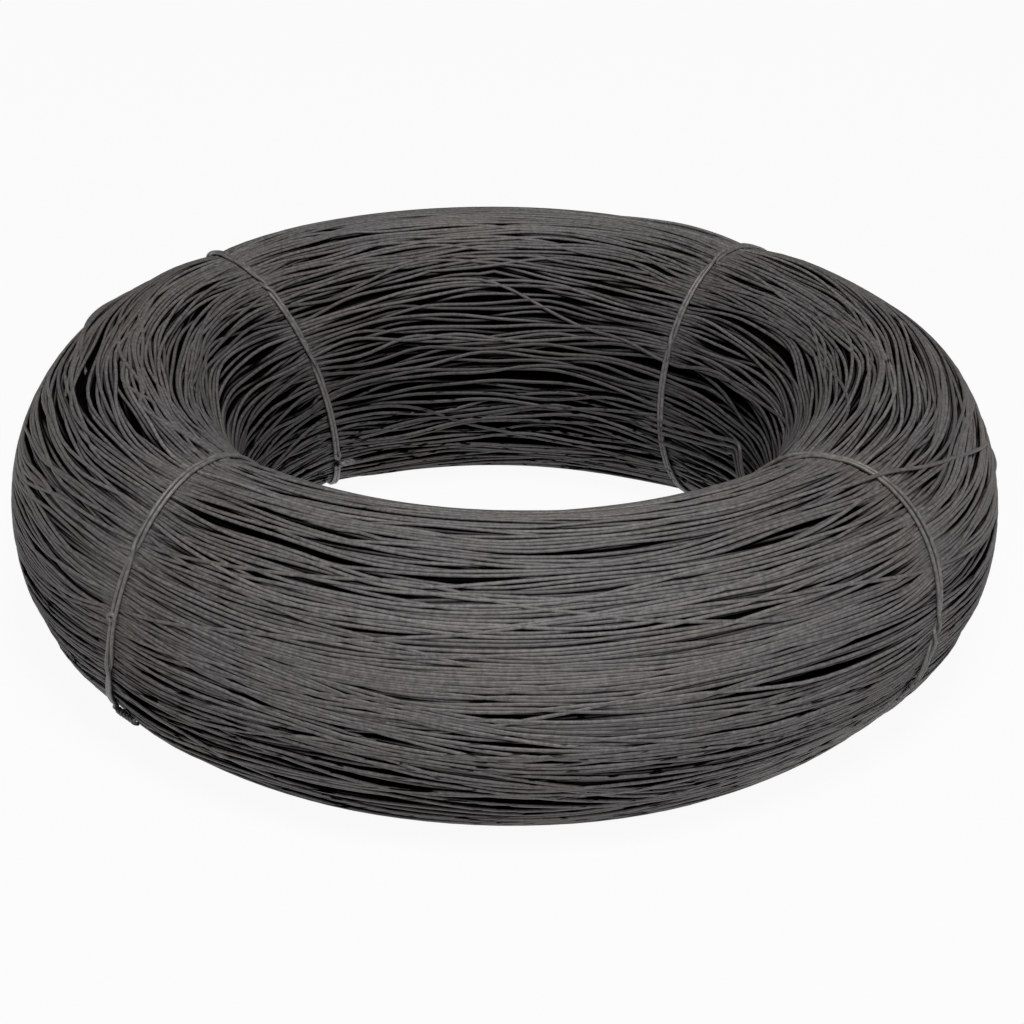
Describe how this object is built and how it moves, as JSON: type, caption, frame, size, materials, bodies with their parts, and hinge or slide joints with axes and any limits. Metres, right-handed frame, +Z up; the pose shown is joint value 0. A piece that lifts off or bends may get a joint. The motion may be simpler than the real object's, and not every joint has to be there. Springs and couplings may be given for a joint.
{
  "type": "coil of annealed steel wire",
  "caption": "Ring-shaped coil of loosely wound, black annealed steel wire, held by doubled wire ties and lying on one end, with an open bore.",
  "frame": {"origin": "on the floor, at the centre of the ring", "axes": "+Z up along the bore; the front ties are on the -Y side, the back ties on the +Y side, left is -X"},
  "size_m": [0.51, 0.51, 0.153],
  "materials": {
    "coil_wire": "black annealed steel wire with a thin matt oxide scale",
    "tie_wire": "black annealed steel wire, slightly rubbed bright"
  },
  "bodies": {
    "root": {"wire_coil": "coil_wire", "tie_front_left": "tie_wire", "tie_front_right": "tie_wire", "tie_back_left": "tie_wire", "tie_back_right": "tie_wire"}
  },
  "joints": []
}
